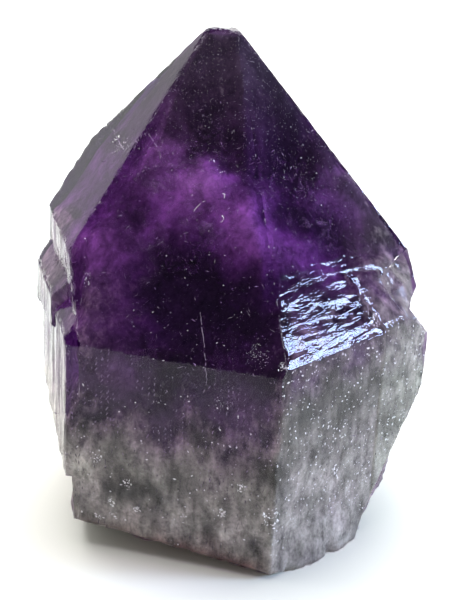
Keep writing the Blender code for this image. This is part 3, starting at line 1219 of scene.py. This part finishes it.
def floor_material(settings):
    """Matt white board. The eye gets a plain pale ground with soft shadows."""
    material, tree, place = new_material("Board, matt white, coated")
    # Very faint tone changes of about 60 mm
    tone = add_node(tree, "TexNoise", "Fac", {"Scale": 16.0, "Detail": 3.0, "Vector": place})
    base = tuple(settings.floor)
    mixed = add_node(tree, "Mix", 2, {"data_type": "RGBA", 0: tone, 6: dimmed(base, 0.97), 7: base})
    add_matt_surface(tree, {"Base Color": mixed, "Roughness": 0.9, "Specular IOR Level": 0.2})
    return material


class AMETHYST_OT_skin(bpy.types.Operator):
    """Adds the crystal's glassy skin with its growth marks and breaks"""

    bl_idname = "amethyst.add_skin"
    bl_label = "Crystal Skin"

    def execute(self, context):
        settings = context.scene.amethyst_skin
        fine = sliced_crystal(settings.spacing)
        shape_skin(fine, settings)
        piece = add_piece("crystal_skin", fine, skin_material(settings))
        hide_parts(NODE)
        return {"FINISHED"}


class AMETHYST_OT_core(bpy.types.Operator):
    """Adds the milky root and the clouds inside the crystal"""

    bl_idname = "amethyst.add_core"
    bl_label = "Cloudy Core"

    def execute(self, context):
        settings = context.scene.amethyst_inside
        add_piece("cloudy_core", core_mesh(settings), core_material(settings))
        return {"FINISHED"}


class AMETHYST_OT_specks(bpy.types.Operator):
    """Adds the fine specks, bright chips, dark pits and veils"""

    bl_idname = "amethyst.add_specks"
    bl_label = "Specks and Chips"

    def execute(self, context):
        settings = context.scene.amethyst_inside
        cells = crystal_cells(CELL_SIZE * MM)
        specks = fleck_material("Quartz, healed crack specks, sealed", settings.speck)
        # The real bright chips share this white with the painted glints
        chips_and_painted_glints = fleck_material("Quartz, open pits and chips, bright, with painted glints", settings.chip_and_glint)
        add_piece("sealed_specks", speck_mesh(settings, cells), specks)
        add_piece("bright_chips_and_painted_glints", chip_and_glint_mesh(cells), chips_and_painted_glints)
        pits = fleck_material("Quartz, etched pits, dark", settings.pit)
        add_piece("dark_pits", pit_mesh(cells), pits)
        add_piece("sealed_veils", veil_mesh(), veil_material(settings))
        return {"FINISHED"}


def add_area_light(name, direction, distance, side, power, tint, twist=0.0):
    """A square lamp in that direction from the crystal's middle, turned to it and twisted by degrees."""
    lamp = bpy.data.lights.new(name, "AREA")
    lamp.shape = "RECTANGLE"
    lamp.size = lamp.size_y = side
    lamp.energy = power
    lamp.color = tint
    item = bpy.data.objects.new(name, lamp)
    bpy.context.scene.collection.objects.link(item)
    target = Vector(LIT_MIDDLE) * MM
    place = target + Vector(direction).normalized() * distance
    turn = (target - place).to_track_quat("-Z", "Y").to_matrix().to_4x4()
    item.matrix_world = Matrix.Translation(place) @ turn @ Matrix.Rotation(math.radians(twist), 4, "Z")


def add_fade(tree, source, reach, brightness):
    """A soft change from one brightness to another while the source passes through the reach."""
    values = {"interpolation_type": "SMOOTHSTEP", "Value": source}
    values.update(zip(("From Min", "From Max", "To Min", "To Max"), (*reach, *brightness)))
    return add_node(tree, "MapRange", "Result", values)


def add_room(settings):
    """The pale room around the stage, which the faces mirror: walls, ceiling, a glow and a dull patch."""
    world = bpy.data.worlds.new("pale room")
    bpy.context.scene.world = world
    world.use_nodes = True
    tree = world.node_tree
    tree.nodes.clear()
    way = add_node(tree, "TexCoord", "Generated", {})
    height = add_node(tree, "SeparateXYZ", "Z", {"Vector": way})
    strength = add_fade(tree, height, (0.34, 0.5), (settings.horizon, 0.12))
    patches = (
        # The wall behind the camera is darker
        ((-0.3, -0.95, 0.0), (0.1, 0.7), (1.0, 0.3), "MULTIPLY"),
        # The back half of the room is pale right up to the ceiling
        ((-0.35, 0.94, 0.0), (0.1, 0.4), (0.0, settings.ceiling), "MAXIMUM"),
        # A soft glow high on the front left, which the leaning front face mirrors
        ((-0.39, -0.5, 0.78), (0.75, 0.95), (0.0, 0.17), "MAXIMUM"),
        # A duller patch at the back on the left, which the leaning left face mirrors
        ((-0.6, 0.79, 0.1), (0.93, 0.99), (1.0, 0.6), "MULTIPLY"),
    )
    for middle, near, brightness, operation in patches:
        facing_it = add_node(tree, "VectorMath", "Value", {"operation": "DOT_PRODUCT", 0: way, 1: middle})
        patch = add_fade(tree, facing_it, near, brightness)
        strength = add_node(tree, "Math", "Value", {"operation": operation, 0: strength, 1: patch})
    room = add_node(tree, "Background", "Background", {"Color": (1.0, 1.0, 1.0, 1.0), "Strength": strength})
    add_node(tree, "OutputWorld", None, {"Surface": room})


def add_camera(scene):
    """The camera at the photograph's viewing angle, tilted down and rolled a little."""
    tilt = math.radians(CAMERA_TILT)
    roll = math.radians(CAMERA_ROLL)
    right = Vector((1.0, 0.0, 0.0))
    up = Vector((0.0, math.sin(tilt), math.cos(tilt)))
    back = Vector((0.0, -math.cos(tilt), math.sin(tilt)))
    side = right * math.cos(roll) - up * math.sin(roll)
    top = right * math.sin(roll) + up * math.cos(roll)
    data = bpy.data.cameras.new("camera")
    data.lens = CAMERA_LENS
    data.sensor_width = 36.0
    data.clip_start = 0.01
    camera = bpy.data.objects.new("camera", data)
    scene.collection.objects.link(camera)
    turn = Matrix((side, top, back)).transposed().to_4x4()
    camera.matrix_world = Matrix.Translation(Vector(CAMERA_PLACE) * MM) @ turn
    scene.camera = camera


class AMETHYST_OT_stage(bpy.types.Operator):
    """Adds the floor, the lights, the world and the camera"""

    bl_idname = "amethyst.add_stage"
    bl_label = "Studio Stage"

    def execute(self, context):
        scene = context.scene
        settings = scene.amethyst_stage
        mesh = bmesh.new()
        bmesh.ops.create_circle(mesh, cap_ends=True, segments=96, radius=FLOOR_RADIUS)
        data = mesh_data("floor", mesh)
        data.materials.append(floor_material(settings))
        floor = bpy.data.objects.new("floor", data)
        scene.collection.objects.link(floor)

        # The window stands low on the right, on its corner. Its upper left edge slants through the way
        # that the right leaning face mirrors, so that only the lower part of the face glares
        heading, lift = [math.radians(angle) for angle in WINDOW_WAY]
        window = (math.cos(heading) * math.cos(lift), math.sin(heading) * math.cos(lift), math.sin(lift))
        add_area_light("window", window, 0.9, 0.24, settings.window, (0.52, 0.69, 1.0), 45.0)
        add_area_light("overhead", (-0.08, 0.3, 0.95), 1.2, 1.3, settings.overhead, (1.0, 1.0, 1.0))
        add_room(settings)
        add_camera(scene)

        scene.view_settings.view_transform = "Standard"
        scene.cycles.transparent_max_bounces = 32
        scene.cycles.max_bounces = 16
        scene.cycles.transmission_bounces = 14
        scene.cycles.caustics_refractive = False
        scene.cycles.caustics_reflective = False
        return {"FINISHED"}


class AMETHYST_PT_panel(bpy.types.Panel):
    """Lists the steps that build the crystal and its stage"""

    bl_label = "Amethyst"
    bl_idname = "AMETHYST_PT_panel"
    bl_space_type = "VIEW_3D"
    bl_region_type = "UI"
    bl_category = "Amethyst"

    def draw(self, context):
        for step in STEPS:
            self.layout.operator(step.bl_idname)


STEPS = (AMETHYST_OT_skin, AMETHYST_OT_core, AMETHYST_OT_specks, AMETHYST_OT_stage)
SETTINGS = {
    "amethyst_skin": SkinSettings,
    "amethyst_inside": InsideSettings,
    "amethyst_stage": StageSettings,
}


def register():
    """Registers the settings, the steps and the panel."""
    for name, group in SETTINGS.items():
        bpy.utils.register_class(group)
        setattr(bpy.types.Scene, name, PointerProperty(type=group))
    for item in (*STEPS, AMETHYST_PT_panel):
        bpy.utils.register_class(item)


def unregister():
    """Takes the panel, the steps and the settings out again."""
    for item in (AMETHYST_PT_panel, *reversed(STEPS)):
        bpy.utils.unregister_class(item)
    for name, group in reversed(list(SETTINGS.items())):
        delattr(bpy.types.Scene, name)
        bpy.utils.unregister_class(group)


def main():
    """Builds the crystal and its stage."""
    register()
    bpy.ops.amethyst.add_skin()
    bpy.ops.amethyst.add_core()
    bpy.ops.amethyst.add_specks()
    bpy.ops.amethyst.add_stage()


if __name__ == "__main__":
    main()
